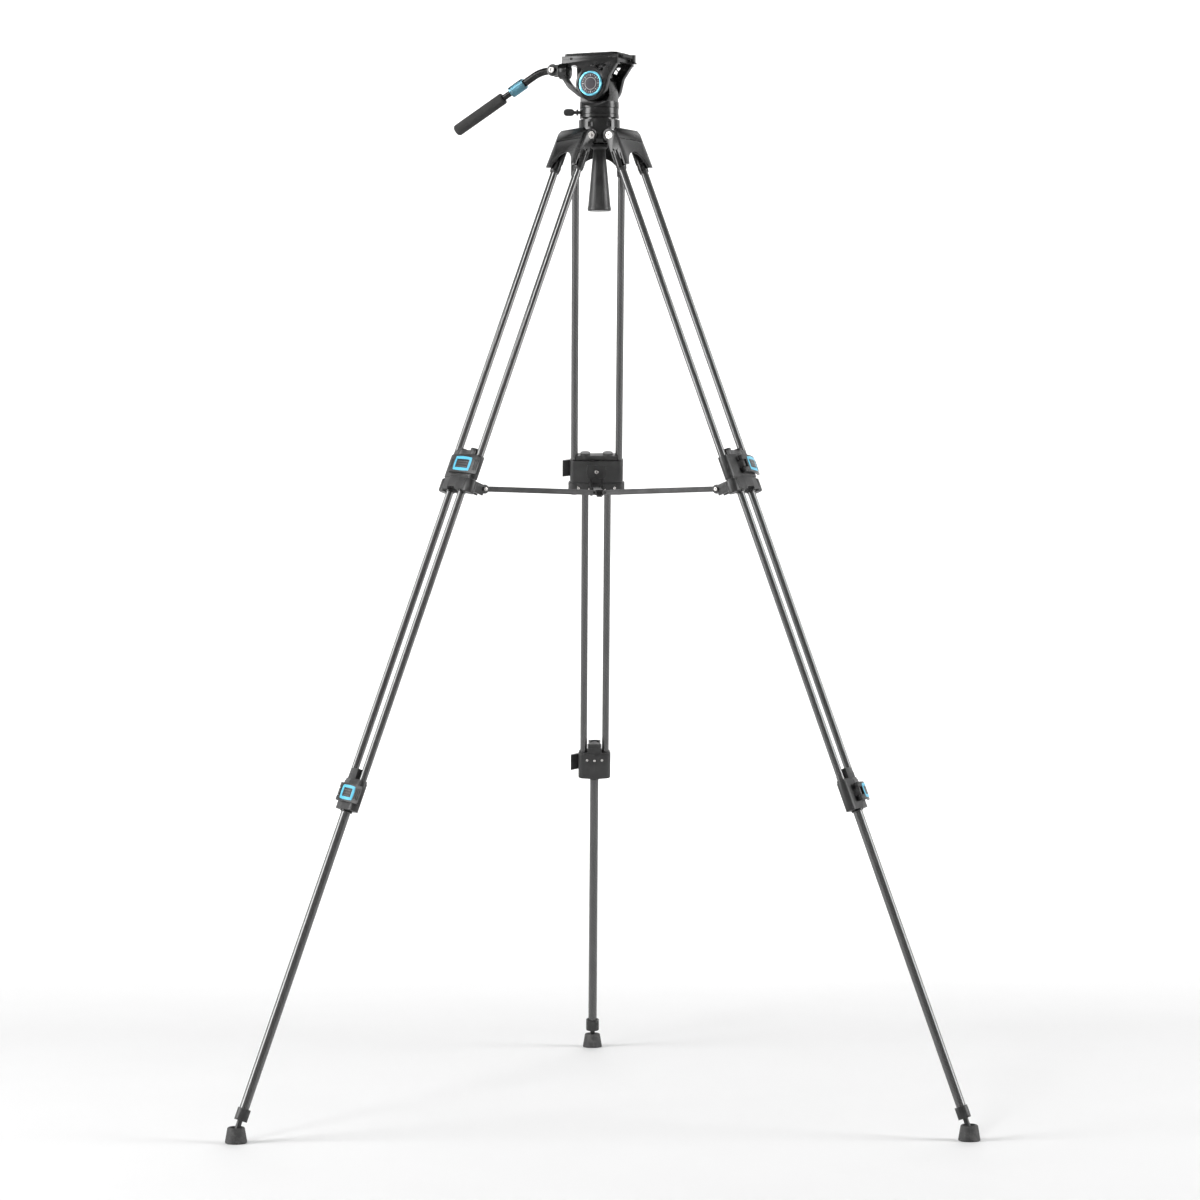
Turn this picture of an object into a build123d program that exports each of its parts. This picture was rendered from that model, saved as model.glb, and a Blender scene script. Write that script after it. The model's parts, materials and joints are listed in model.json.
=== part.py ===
from build123d import *
import math
import os

# Three-section twin-tube tripod with a fluid video head. Millimetres, +Z up.
# The origin is on the floor, under the middle of the feet's bounding box.

# Leg geometry: L is a distance down the leg from its pivot bolt
LEG_ANGLE = 21.45
PIVOT_R = 44.0
PIVOT_Z = 1697.0
FOOT_JOINT_Z = 18.0
FOOT_JOINT_L = (PIVOT_Z - FOOT_JOINT_Z) / math.cos(math.radians(LEG_ANGLE))
FOOT_R = PIVOT_R + FOOT_JOINT_L * math.sin(math.radians(LEG_ANGLE))
AXIS_Y = -FOOT_R / 4
LEG_AZIMUTHS = {1: 90.0, 2: 210.0, 3: 330.0}

# Tubes
UPPER_R, UPPER_Y = 6.5, 40.5
MIDDLE_R, MIDDLE_Y = 6.5, 20.5
LOWER_R = 8.25
TUBE_WALL = 1.3
SLIDE_FIT = 0.08
PIN_FIT = 0.05
GAP = 0.5

# Places down the leg
SOCKET_L = 62.0
MID_TOP, MID_SPLIT, MID_BOTTOM = 598.0, 638.0, 661.0
BRACKET_L, BRACKET_IN = 640.0, 45.0
CAP_TOP, LOW_TOP, LOW_BOTTOM = 1167.0, 1185.0, 1239.0
FERRULE_TOP, FERRULE_BOTTOM = 1763.0, 1784.0

# Spreader
HUB_PIVOT_R, HUB_Z = 14.0, 1079.0
ARM_W, ARM_H = 13.0, 8.5

# Bowl and head
BOWL_Z, BOWL_R, BALL_R = 1728.0, 36.3, 32.5
BASE_Z = 1731.5
PIVOT_PIN_R = 4.0
TILT_Z = 1789.0
HEAD_YAW = -25.0
BASE_R = 34.5
BASE_RELIEF_R = 38.5
PLATE_TOP = 1843.0
CAMERA_SCREW_R, SCREW_X, STUD_X = 3.175, -14.0, 12.0
FRAME_Y0, FRAME_Y1 = 26.0, 36.0
BOSS_R = 29.0
DISC_R = 21.5
HANDLE_Y = -31.0
BOLT_X, BOLT_Z = -71.0, 1815.0
GRIP_SLOPE = 30.6


def rod(radius, start, end):
    a, b = Vector(*start), Vector(*end)
    low = (Align.CENTER, Align.CENTER, Align.MIN)
    return Plane(origin=a, z_dir=b - a) * Cylinder(radius, (b - a).length, align=low)


def cone(r0, r1, start, end):
    a, b = Vector(*start), Vector(*end)
    low = (Align.CENTER, Align.CENTER, Align.MIN)
    return Plane(origin=a, z_dir=b - a) * Cone(r0, r1, (b - a).length, align=low)


def block(x, y, z):
    size = [high - low for low, high in (x, y, z)]
    middle = [(low + high) / 2 for low, high in (x, y, z)]
    return Pos(*middle) * Box(*size)


def softened(shape, radius, edges):
    return fillet(edges(shape), radius)


def hull_prism(circles, z0, z1):
    """A prism over the hull of circles, each (x, y, radius)."""
    outline = Sketch() + [Pos(x, y) * Circle(r) for x, y, r in circles]
    face = make_hull(outline.edges())
    return Pos(0, 0, z0) * extrude(face, z1 - z0)


def side_prism(face, y0, y1):
    """A face drawn in X and Z, made thick along Y."""
    return Pos(0, y1, 0) * (Rot(90, 0, 0) * extrude(face, y1 - y0))


def write(name, *solids):
    pieces = [s for shape in solids for s in shape.solids()]
    shape = pieces[0] if len(pieces) == 1 else Compound(children=pieces)
    export_step(shape, f"parts/{name}.step")


def on_axis(azimuth):
    return Pos(0, AXIS_Y, 0) * Rot(0, 0, azimuth)


def on_leg(azimuth):
    """The leg's frame: X outward, Y across, Z up the leg, origin at its pivot."""
    return on_axis(azimuth) * Pos(PIVOT_R, 0, PIVOT_Z) * Rot(0, -LEG_ANGLE, 0)


# ---------------------------------------------------------------- leg parts


def yoke():
    outline = Polyline(
        (-45, 3), (-38, 9), (38, 9), (45, 3), (49, -60), (32, -60), (32, -52),
        (-32, -52), (-32, -60), (-49, -60), close=True,
    )
    web = make_face(outline)
    web -= Pos(0, -72) * Circle(38)
    body = Plane.YZ.offset(10.8) * extrude(web, 4.2)
    for side in (-1, 1):
        body += rod(11, (0, side * 22.8, 0), (0, side * 46.5, 0))
        body += block((-7, 14), sorted((side * 33, side * 47)), (-48, 0))
        body += rod(8.6, (0, side * UPPER_Y, -SOCKET_L), (0, side * UPPER_Y, -30))
    body -= block((13.6, 16), (-41, 41), (-12.5, -10.5))
    body -= rod(PIVOT_PIN_R + PIN_FIT, (0, -50, 0), (0, 50, 0))
    for side in (-1, 1):
        body -= rod(7.2, (0, side * 42.5, 0), (0, side * 50, 0))
        body -= rod(UPPER_R, (0, side * UPPER_Y, -70), (0, side * UPPER_Y, -26))
    return body


def tube_pair(radius, y, top, bottom):
    pair = []
    for side in (-1, 1):
        tube = rod(radius, (0, side * y, -bottom), (0, side * y, -top))
        pair.append(tube - rod(radius - TUBE_WALL, (0, side * y, -bottom), (0, side * y, -top)))
    return pair


def clamp_lever_lug(x_face, y_pin, z_middle):
    lug = block((x_face - 4, 18), (y_pin - 4, y_pin + 4), (z_middle - 6, z_middle + 6))
    lug += rod(4, (18, y_pin, z_middle - 6), (18, y_pin, z_middle + 6))
    return lug - rod(2, (18, y_pin, z_middle - 8), (18, y_pin, z_middle + 8))


def clamp_lever(y_pin, y_tip, z_middle, height):
    """A cam lever hinged beside the lug, lying over the clamp to past its end."""
    span = y_tip - y_pin
    outer = [(22.5, y_pin), (20.5, y_pin + span * 0.4), (14.5, y_pin + span * 0.75), (7.5, y_tip)]
    inner = [(3.2, y_tip), (10.2, y_pin + span * 0.72), (15.2, y_pin + span * 0.38), (13.8, y_pin)]
    edge = Spline(*outer) + Line(outer[-1], inner[0]) + Spline(*inner) + Line(inner[-1], outer[0])
    plate = Pos(0, 0, z_middle - height / 2) * extrude(make_face(edge), height)
    plate += rod(4.3, (18, y_pin, z_middle - height / 2), (18, y_pin, z_middle + height / 2))
    plate -= block((8, 30), (y_pin - 8, y_pin + 9), (z_middle - 7, z_middle + 7))
    return plate - rod(2 + PIN_FIT, (18, y_pin, z_middle - 30), (18, y_pin, z_middle + 30))


def lever_pin(y_pin, z_middle, height):
    half = height / 2
    return rod(2, (18, y_pin, z_middle - half), (18, y_pin, z_middle + half))


def mid_clamp():
    plan = [(0, 39, 9.5), (0, -39, 9.5), (0, 14, 12.5), (0, -14, 12.5)]
    waist = [(x, y, r - 1.4) for x, y, r in plan]
    body = hull_prism(plan, -MID_SPLIT, -MID_TOP)
    body += hull_prism(waist, -MID_SPLIT - 3, -MID_SPLIT)
    body += hull_prism(plan, -MID_BOTTOM, -MID_SPLIT - 3)
    body -= block((-20, 20), (-12, 12), (-MID_BOTTOM - 1, -MID_BOTTOM + 4))
    for side in (-1, 1):
        cheek = block((-BRACKET_IN, -9), sorted((side * 7.6, side * 11.8)), (-652, -634))
        cheek += rod(8, (-BRACKET_IN, side * 7.6, -BRACKET_L), (-BRACKET_IN, side * 11.8, -BRACKET_L))
        body += cheek
        body -= rod(2.5, (-BRACKET_IN, side * 7, -BRACKET_L), (-BRACKET_IN, side * 13, -BRACKET_L))
        body -= rod(UPPER_R, (0, side * UPPER_Y, -652), (0, side * UPPER_Y, -590))
        body -= rod(MIDDLE_R + SLIDE_FIT, (0, side * MIDDLE_Y, -670), (0, side * MIDDLE_Y, -590))
    body -= rod(LOWER_R + 0.8, (0, 0, -670), (0, 0, -590))
    body += clamp_lever_lug(12.5, -12, -618)
    bolts = []
    for side in (-1, 1):
        shank = (-BRACKET_IN, side * 7.6, -BRACKET_L)
        rim = (-BRACKET_IN, side * 11.8, -BRACKET_L)
        cap = (-BRACKET_IN, side * 13.6, -BRACKET_L)
        bolts.append(rod(2.5, shank, rim) + rod(4.2, rim, cap))
    return [body, lever_pin(-12, -618, 31)] + bolts


def tube_bridge():
    body = block((-8, 8), (-37.5, 37.5), (-597.4, -589))
    for side in (-1, 1):
        body += rod(9, (0, side * MIDDLE_Y, -597.4), (0, side * MIDDLE_Y, -585))
    for side in (-1, 1):
        body -= rod(UPPER_R + 0.4, (0, side * UPPER_Y, -600), (0, side * UPPER_Y, -580))
        body -= rod(MIDDLE_R, (0, side * MIDDLE_Y, -600), (0, side * MIDDLE_Y, -588))
    return body


def lower_clamp():
    plan = [(0, MIDDLE_Y, 9.8), (0, -MIDDLE_Y, 9.8), (0, 0, 12.5)]
    body = hull_prism(plan, -LOW_BOTTOM, -LOW_TOP - 4)
    body += hull_prism([(x, y, r - 1.2) for x, y, r in plan], -LOW_TOP - 4, -LOW_TOP)
    body += block((-11, 11), (-13.2, 13.2), (-LOW_TOP, -CAP_TOP - 9))
    body += block((-10, 10), (-11.2, 11.2), (-CAP_TOP - 9, -CAP_TOP))
    body -= rod(LOWER_R + SLIDE_FIT, (0, 0, -1250), (0, 0, -1160))
    for side in (-1, 1):
        body -= rod(MIDDLE_R, (0, side * MIDDLE_Y, -1225), (0, side * MIDDLE_Y, -1170))
    body += clamp_lever_lug(12.5, -8, -1212)
    return [body, lever_pin(-8, -1212, 31)]


def lower_tube():
    tube = rod(LOWER_R, (0, 0, -FERRULE_BOTTOM + 6), (0, 0, -CAP_TOP - 6))
    return tube - rod(LOWER_R - TUBE_WALL, (0, 0, -FERRULE_BOTTOM + 6), (0, 0, -CAP_TOP - 6))


def foot_collar():
    body = hull_prism([(-2, 4.5, 8), (-2, -4.5, 8), (2.6, 0, 8)], -FERRULE_BOTTOM, -FERRULE_TOP)
    body += rod(10.4, (0, 0, -FERRULE_BOTTOM + 3), (0, 0, -FERRULE_TOP - 2))
    body -= rod(LOWER_R, (0, 0, -FERRULE_BOTTOM + 6), (0, 0, -FERRULE_TOP + 1))
    body += rod(4.5, (0, 0, -FOOT_JOINT_L), (0, 0, -FERRULE_BOTTOM + 1))
    return body + Pos(0, 0, -FOOT_JOINT_L) * Sphere(7)


def foot():
    outline = Polyline(
        (0, 0), (17.6, 0), (18.5, 1.2), (18.3, 3.5), (14.6, 25), (12.8, 26.5),
        (0, 26.5), close=True,
    )
    body = revolve(Plane.XZ * make_face(outline), Axis.Z)
    body -= Pos(0, 0, FOOT_JOINT_Z) * Sphere(7 + SLIDE_FIT)
    return body - cone(7.3, 11.2, (0, 0, FOOT_JOINT_Z + 2.8), (0, 0, 27))


# ---------------------------------------------------------------- spreader


def bracket_point():
    a = math.radians(LEG_ANGLE)
    r = PIVOT_R + BRACKET_L * math.sin(a) - BRACKET_IN * math.cos(a)
    return r, PIVOT_Z - BRACKET_L * math.cos(a) - BRACKET_IN * math.sin(a)


def spreader_arm():
    """A channel along X from the hub pin at the origin to the bracket."""
    r, z = bracket_point()
    length = math.hypot(r - HUB_PIVOT_R, z - HUB_Z)
    half = ARM_W / 2
    body = block((0, length), (-half, half), (-ARM_H / 2, ARM_H / 2))
    body += rod(ARM_H / 2, (0, -half, 0), (0, half, 0))
    body += rod(ARM_H / 2, (length, -half, 0), (length, half, 0))
    body -= block((12, length - 8), (-half + 1.6, half - 1.6), (-ARM_H / 2, ARM_H / 2 - 1.6))
    body -= block((-6, 9), (-4.5, 4.5), (-6, 6))
    body -= rod(2 + PIN_FIT, (0, -10, 0), (0, 10, 0))
    slope = math.degrees(math.atan2(z - HUB_Z, r - HUB_PIVOT_R))
    return Pos(HUB_PIVOT_R, 0, HUB_Z) * Rot(0, -slope, 0) * body


def spreader_hub():
    body = Pos(0, 0, HUB_Z) * Cylinder(8, 9)
    body += Pos(0, 0, HUB_Z - 5.5) * Cylinder(5, 4)
    pins = []
    for azimuth in LEG_AZIMUTHS.values():
        tongue = block((0, HUB_PIVOT_R), (-4, 4), (HUB_Z - 4, HUB_Z + 4))
        tongue += rod(4, (HUB_PIVOT_R, -4, HUB_Z), (HUB_PIVOT_R, 4, HUB_Z))
        tongue -= rod(2, (HUB_PIVOT_R, -9, HUB_Z), (HUB_PIVOT_R, 9, HUB_Z))
        body += Rot(0, 0, azimuth) * tongue
        pin = rod(2, (HUB_PIVOT_R, -7.2, HUB_Z), (HUB_PIVOT_R, 7.2, HUB_Z))
        pins.append(Rot(0, 0, azimuth) * pin)
    return [Pos(0, AXIS_Y, 0) * piece for piece in [body] + pins]


# ---------------------------------------------------------------- bowl


def bowl_spider():
    body = Pos(0, 0, BOWL_Z - 17) * Cylinder(BOWL_R, 34)
    body += cone(24, BOWL_R - 3, (0, 0, 1688), (0, 0, 1698))
    for azimuth in LEG_AZIMUTHS.values():
        lug = block((20, PIVOT_R), (-22, 22), (PIVOT_Z - 9, PIVOT_Z + 9))
        lug += rod(9.5, (PIVOT_R, -22, PIVOT_Z), (PIVOT_R, 22, PIVOT_Z))
        body += Rot(0, 0, azimuth) * lug
    body -= Pos(0, 0, BOWL_Z) * Sphere(BALL_R + SLIDE_FIT)
    body -= rod(12, (0, 0, 1650), (0, 0, 1720))
    body -= Pos(0, 0, 1660) * Cylinder(60, 56)
    for azimuth in (270, 30, 150):
        for side in (-27, 27):
            body -= Rot(0, 0, azimuth + side) * block((34, 40), (-4, 4), (1715, 1723.5))
    for azimuth in LEG_AZIMUTHS.values():
        pin = rod(PIVOT_PIN_R, (PIVOT_R, -30, PIVOT_Z), (PIVOT_R, 30, PIVOT_Z))
        body -= Rot(0, 0, azimuth) * pin
    return Pos(0, AXIS_Y, 0) * body


def leg_pivot_bolts():
    bolts = []
    for azimuth in LEG_AZIMUTHS.values():
        bolt = rod(PIVOT_PIN_R, (PIVOT_R, -42.6, PIVOT_Z), (PIVOT_R, 42.6, PIVOT_Z))
        for side in (-1, 1):
            bolt += rod(6.4, (PIVOT_R, side * 42.7, PIVOT_Z), (PIVOT_R, side * 46, PIVOT_Z))
        for side in (-1, 1):
            socket = Plane(origin=(PIVOT_R, side * 44, PIVOT_Z), z_dir=(0, side, 0))
            bolt -= socket * extrude(RegularPolygon(2.9, 6), 3)
        bolts.append(on_axis(azimuth) * bolt)
    return bolts


def half_ball():
    body = Pos(0, 0, BOWL_Z) * Sphere(BALL_R)
    body -= Pos(0, 0, BOWL_Z + 25) * Cylinder(60, 50)
    body -= Pos(0, 0, 1680) * Cylinder(60, 50)
    body += rod(5, (0, 0, 1640), (0, 0, 1712))
    body += rod(29, (0, 0, BOWL_Z - 5), (0, 0, BASE_Z))
    return Pos(0, AXIS_Y, 0) * body


def bowl_clamp_knob():
    outline = Polyline(
        (5.05, 1686), (15.2, 1686), (15.2, 1681), (10.8, 1677.5), (11, 1674), (14, 1640),
        (19.6, 1580), (20.6, 1576), (20.6, 1572), (19.4, 1570.5), (0, 1570.5),
        (0, 1637), (5.05, 1637), close=True,
    )
    body = revolve(Plane.XZ * make_face(outline), Axis.Z)
    for angle in range(0, 360, 20):
        groove = cone(1.1, 1.5, (13.6, 0, 1655), (20.9, 0, 1582))
        body -= Rot(0, 0, angle + 10) * groove
    return Pos(0, AXIS_Y, 0) * body


# ---------------------------------------------------------------- head base


def pan_base():
    body = Pos(0, 0, BASE_Z + 2.7) * Cylinder(BASE_R, 5.4)
    body += Pos(0, 0, 1742.6) * Cylinder(BASE_R - 0.6, 11.4)
    body -= Pos(0, 0, 1737.4) * (Cylinder(BASE_R + 1, 1) - Cylinder(BASE_R - 1.5, 1))
    body -= rod(14 + PIN_FIT, (0, 0, 1740), (0, 0, 1760))
    body -= rod(3, (-BASE_R - 2, 0, 1742), (-20, 0, 1742))
    return Pos(0, AXIS_Y, 0) * body


def pan_lock_lever():
    body = rod(2.9, (-52, 0, 1742), (-26, 0, 1742))
    body += rod(5.5, (-40, 0, 1742), (-37, 0, 1742))
    paddle = extrude(SlotOverall(19, 12), 7)
    return Pos(0, AXIS_Y, 0) * (body + Pos(-53, 3.5, 1742) * Rot(90, 0, 0) * paddle)


def tilt_housing():
    body = Pos(0, 0, 1754.1) * Cylinder(BASE_R, 10.8)
    body += rod(14, (0, 0, 1740.5), (0, 0, 1750))
    column = make_hull((Pos(0, TILT_Z) * Circle(24.5) + Pos(0, 1766) * Rectangle(56, 16)).edges())
    body += side_prism(column, -19, 19)
    body -= rod(8, (0, -30, TILT_Z), (0, 30, TILT_Z))
    body -= rod(17, (0, -13, TILT_Z), (0, 13, TILT_Z))
    for y0, y1 in ((-40, -25), (25, 40)):
        body -= rod(BASE_RELIEF_R, (0, y0, TILT_Z), (0, y1, TILT_Z))
    return body


def tilt_axle():
    body = rod(7.9, (0, -27, TILT_Z), (0, 27, TILT_Z))
    return body


def drag_cartridge():
    body = rod(16.6, (0, -12.6, TILT_Z), (0, -1, TILT_Z))
    return body - rod(8, (0, -14, TILT_Z), (0, 1, TILT_Z))


def counterbalance_spring():
    """Turns of a flat torsion spring around the axle."""
    body = rod(15.5, (0, 1, TILT_Z), (0, 12, TILT_Z))
    body -= rod(10.5, (0, 0, TILT_Z), (0, 13, TILT_Z))
    for y in (3.6, 6.3, 9.0):
        ring = rod(17, (0, y - 0.4, TILT_Z), (0, y + 0.4, TILT_Z))
        body -= ring - rod(13.5, (0, y - 1, TILT_Z), (0, y + 1, TILT_Z))
    return body


# ---------------------------------------------------------------- cradle


def frame_outline():
    """One side of the cradle: a round boss carried by a front and a rear strut."""
    boss = Pos(0, TILT_Z) * Circle(BOSS_R)
    front = Polyline(
        (14, 1764), (28.5, 1784), (33, 1801), (49, 1824), (49, 1828), (30, 1828),
        (20, 1806), (0, 1789), close=True,
    )
    rear = Polyline(
        (0, TILT_Z), (-8, 1761.6), (-24, 1767.5), (-44, 1783), (-55, 1799),
        (-55, 1828), (-47, 1828), (-47, 1802), (-38, 1789), (-24, 1777), close=True,
    )
    rail = Pos(-2, 1826) * Rectangle(104, 8)
    brace = Polyline((-12, 1812), (-34, 1824), (20, 1824), (18, 1808), close=True)
    return boss + make_face(front) + make_face(rear) + rail + make_face(brace)


def cradle():
    body = block((-56, 50), (-FRAME_Y1, FRAME_Y1), (1825.5, 1833.5))
    body -= block((-40, 34), (-18, 18), (1820, 1829))
    for side in (-1, 1):
        y0, y1 = sorted((side * FRAME_Y0, side * FRAME_Y1))
        body += side_prism(frame_outline(), y0, y1)
        body -= rod(7.96, (0, side * 20, TILT_Z), (0, side * 27.4, TILT_Z))
        body += block((-56, 50), sorted((side * 29.5, side * 35)), (1833.5, 1838.5))
    window = make_face(Polyline((-6, 1821.5), (30, 1821.5), (21.5, 1811.5), (17, 1811), close=True))
    body -= side_prism(window, -40, -20)
    body -= side_prism(window, 20, 40)
    body -= rod(DISC_R + 0.1, (0, -FRAME_Y1 - 1, TILT_Z), (0, -FRAME_Y1 + 3, TILT_Z))
    body += rod(14, (-56, HANDLE_Y, 1813), (-44, HANDLE_Y, 1813))
    return body + block((49, 59.5), (17, 27), (1825.5, 1828.6))


def drag_dial():
    body = rod(DISC_R - 3.6, (0, -FRAME_Y1 - 2.2, TILT_Z), (0, -FRAME_Y1 + 3, TILT_Z))
    return body


def dial_ring():
    ring = rod(DISC_R, (0, -FRAME_Y1 - 2.6, TILT_Z), (0, -FRAME_Y1 + 3, TILT_Z))
    return ring - rod(DISC_R - 3.6, (0, -FRAME_Y1 - 4, TILT_Z), (0, -FRAME_Y1 + 4, TILT_Z))


def tilt_lock_lever():
    hub = rod(13, (0, FRAME_Y1 + GAP, TILT_Z), (0, FRAME_Y1 + 11, TILT_Z))
    arm = hull_prism([(0, 0, 7), (-30, 0, 5)], 0, 6)
    arm = Pos(0, FRAME_Y1 + 11, TILT_Z) * Rot(90, 0, 0) * arm
    return hub + arm


# ---------------------------------------------------------------- plate


def quick_plate():
    body = block((-50, 44), (-29, 29), (1834, 1839))
    top = chamfer(Rectangle(100, 66).vertices(), 7)
    body += Pos(-4, 0, 1839) * extrude(top, PLATE_TOP - 1839)
    body -= rod(CAMERA_SCREW_R + 0.1, (SCREW_X, 0, 1830), (SCREW_X, 0, 1850))
    body -= rod(8.3, (SCREW_X, 0, 1830), (SCREW_X, 0, 1838.2))
    return body + rod(2.4, (STUD_X, 0, 1842), (STUD_X, 0, PLATE_TOP + 2.5))


def camera_screw():
    """A captive screw: its thread stands above the plate on a relieved neck."""
    screw = rod(8, (SCREW_X, 0, 1834.5), (SCREW_X, 0, 1837.8))
    screw += rod(2.4, (SCREW_X, 0, 1837.8), (SCREW_X, 0, PLATE_TOP))
    screw += rod(CAMERA_SCREW_R, (SCREW_X, 0, PLATE_TOP), (SCREW_X, 0, PLATE_TOP + 4.5))
    return screw - block((SCREW_X - 6, SCREW_X + 6), (-0.8, 0.8), (1834, 1836))


def plate_lock_lever():
    body = block((50.6, 55.5), (-22, 22), (1834.5, 1840.5))
    return body + rod(4.4, (55, 22, 1829), (55, 22, 1841.5))


# ---------------------------------------------------------------- handle


def handle_clevis():
    body = rod(14, (-60, HANDLE_Y, 1813), (-56, HANDLE_Y, 1813))
    body += block((-61.5, -59), (HANDLE_Y - 10.5, HANDLE_Y + 10.5), (1804, 1824))
    for side in (-1, 1):
        y0, y1 = sorted((HANDLE_Y + side * 6.5, HANDLE_Y + side * 10.5))
        body += rod(10.5, (BOLT_X, y0, BOLT_Z), (BOLT_X, y1, BOLT_Z))
        body += block((BOLT_X, -60), (y0, y1), (1805, 1824))
    body -= rod(4, (BOLT_X, HANDLE_Y - 20, BOLT_Z), (BOLT_X, HANDLE_Y + 20, BOLT_Z))
    bolt = rod(4, (BOLT_X, HANDLE_Y - 10.5, BOLT_Z), (BOLT_X, HANDLE_Y + 10.5, BOLT_Z))
    bolt += rod(5.4, (BOLT_X, HANDLE_Y - 13, BOLT_Z), (BOLT_X, HANDLE_Y - 10.5, BOLT_Z))
    return [body, bolt]


def grip_point(distance):
    """A point on the handle's straight run, measured back from where it starts to slope."""
    a = math.radians(GRIP_SLOPE)
    return (-96.9 - distance * math.cos(a), HANDLE_Y, BOLT_Z - distance * math.sin(a))


def handle_arm():
    start = (BOLT_X, HANDLE_Y, BOLT_Z)
    end = grip_point(66)
    path = FilletPolyline(start, (-96.9, HANDLE_Y, BOLT_Z), end, radius=60)
    profile = Plane(origin=start, z_dir=(-1, 0, 0)) * Circle(6.5)
    body = sweep(profile, path=path)
    body += rod(8.5, (BOLT_X, HANDLE_Y - 6, BOLT_Z), (BOLT_X, HANDLE_Y + 6, BOLT_Z))
    body -= rod(4.05, (BOLT_X, HANDLE_Y - 20, BOLT_Z), (BOLT_X, HANDLE_Y + 20, BOLT_Z))
    return body - rod(5.3, grip_point(20), grip_point(70))


def handle_sleeve():
    body = rod(10.2, grip_point(37.2), grip_point(67.5))
    return body - rod(6.55, grip_point(30), grip_point(70))


def handle_tube():
    return rod(5.25, grip_point(34), grip_point(190))


def handle_grip():
    body = rod(10.5, grip_point(85.3), grip_point(192.7))
    body -= rod(5.25, grip_point(80), grip_point(190))
    return fillet(body.edges().group_by(Axis.X)[0], 4)


# ---------------------------------------------------------------- assembly


def write_leg(number, azimuth):
    leg = on_leg(azimuth)

    def put(name, *shapes):
        write(f"{name}_{number}", *[leg * s for s in shapes])

    put("yoke", yoke())
    put("upper_tubes", *tube_pair(UPPER_R, UPPER_Y, 26, 652))
    put("mid_clamp", *mid_clamp())
    put("mid_lever", clamp_lever(-12, 62, -618, 31))
    put("middle_tubes", *tube_pair(MIDDLE_R, MIDDLE_Y, 588, 1225))
    put("tube_bridge", tube_bridge())
    put("lower_clamp", *lower_clamp())
    put("lower_lever", clamp_lever(-8, 44.5, -1212, 31))
    put("lower_tube", lower_tube())
    put("foot_collar", foot_collar())
    write(f"foot_{number}", on_axis(azimuth) * Pos(FOOT_R, 0, 0) * foot())
    write(f"spreader_arm_{number}", on_axis(azimuth) * spreader_arm())


def write_head():
    turned = Pos(0, AXIS_Y, 0) * Rot(0, 0, HEAD_YAW)
    pieces = {
        "tilt_housing": [tilt_housing()],
        "tilt_axle": [tilt_axle()],
        "drag_cartridge": [drag_cartridge()],
        "counterbalance_spring": [counterbalance_spring()],
        "cradle": [cradle()],
        "drag_dial": [drag_dial()],
        "dial_ring": [dial_ring()],
        "tilt_lock_lever": [tilt_lock_lever()],
        "quick_plate": [quick_plate()],
        "camera_screw": [camera_screw()],
        "plate_lock_lever": [plate_lock_lever()],
        "handle_clevis": handle_clevis(),
        "handle_arm": [handle_arm()],
        "handle_sleeve": [handle_sleeve()],
        "handle_tube": [handle_tube()],
        "handle_grip": [handle_grip()],
    }
    for name, shapes in pieces.items():
        write(name, *[turned * s for s in shapes])


os.makedirs("parts", exist_ok=True)
for leg_number, leg_azimuth in LEG_AZIMUTHS.items():
    write_leg(leg_number, leg_azimuth)
write("spreader_hub", *spreader_hub())
write("bowl_spider", bowl_spider())
write("leg_pivot_bolts", *leg_pivot_bolts())
write("half_ball", half_ball())
write("bowl_clamp_knob", bowl_clamp_knob())
write("pan_base", pan_base())
write("pan_lock_lever", pan_lock_lever())
write_head()
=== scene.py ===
import json
import math

import bmesh
import bpy
from mathutils import Matrix, Vector
from mathutils.bvhtree import BVHTree

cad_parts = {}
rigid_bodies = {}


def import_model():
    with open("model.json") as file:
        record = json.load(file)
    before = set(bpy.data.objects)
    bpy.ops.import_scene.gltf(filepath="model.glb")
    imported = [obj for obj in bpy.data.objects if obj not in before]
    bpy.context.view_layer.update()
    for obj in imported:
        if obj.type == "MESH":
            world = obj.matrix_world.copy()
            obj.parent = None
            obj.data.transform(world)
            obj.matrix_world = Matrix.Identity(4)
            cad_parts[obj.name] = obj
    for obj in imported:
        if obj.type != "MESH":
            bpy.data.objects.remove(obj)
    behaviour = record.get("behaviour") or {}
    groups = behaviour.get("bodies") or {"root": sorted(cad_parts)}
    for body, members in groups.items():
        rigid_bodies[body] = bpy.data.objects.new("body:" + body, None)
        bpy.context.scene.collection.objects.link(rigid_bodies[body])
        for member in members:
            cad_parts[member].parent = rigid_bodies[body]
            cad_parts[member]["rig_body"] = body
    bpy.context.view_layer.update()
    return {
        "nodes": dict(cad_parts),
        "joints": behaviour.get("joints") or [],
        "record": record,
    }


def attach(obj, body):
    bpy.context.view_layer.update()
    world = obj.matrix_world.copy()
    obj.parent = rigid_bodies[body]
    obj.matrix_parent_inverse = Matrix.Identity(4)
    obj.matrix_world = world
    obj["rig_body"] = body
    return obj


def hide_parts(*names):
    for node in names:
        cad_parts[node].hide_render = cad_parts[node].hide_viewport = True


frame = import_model()
nodes = frame["nodes"]
joints = {j["name"]: j for j in frame["joints"]}
mounts = {m["name"]: m for m in frame["record"]["mounts"]}
MM = 0.001


# ---------------------------------------------------------------- local frames

def local_frame(origin, x, y, z):
    """A matrix from millimetres in a local frame to metres in the row frame."""
    turn = Matrix((x.normalized(), y.normalized(), z.normalized())).transposed().to_4x4()
    return Matrix.Translation(origin) @ turn @ Matrix.Scale(MM, 4)


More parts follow.
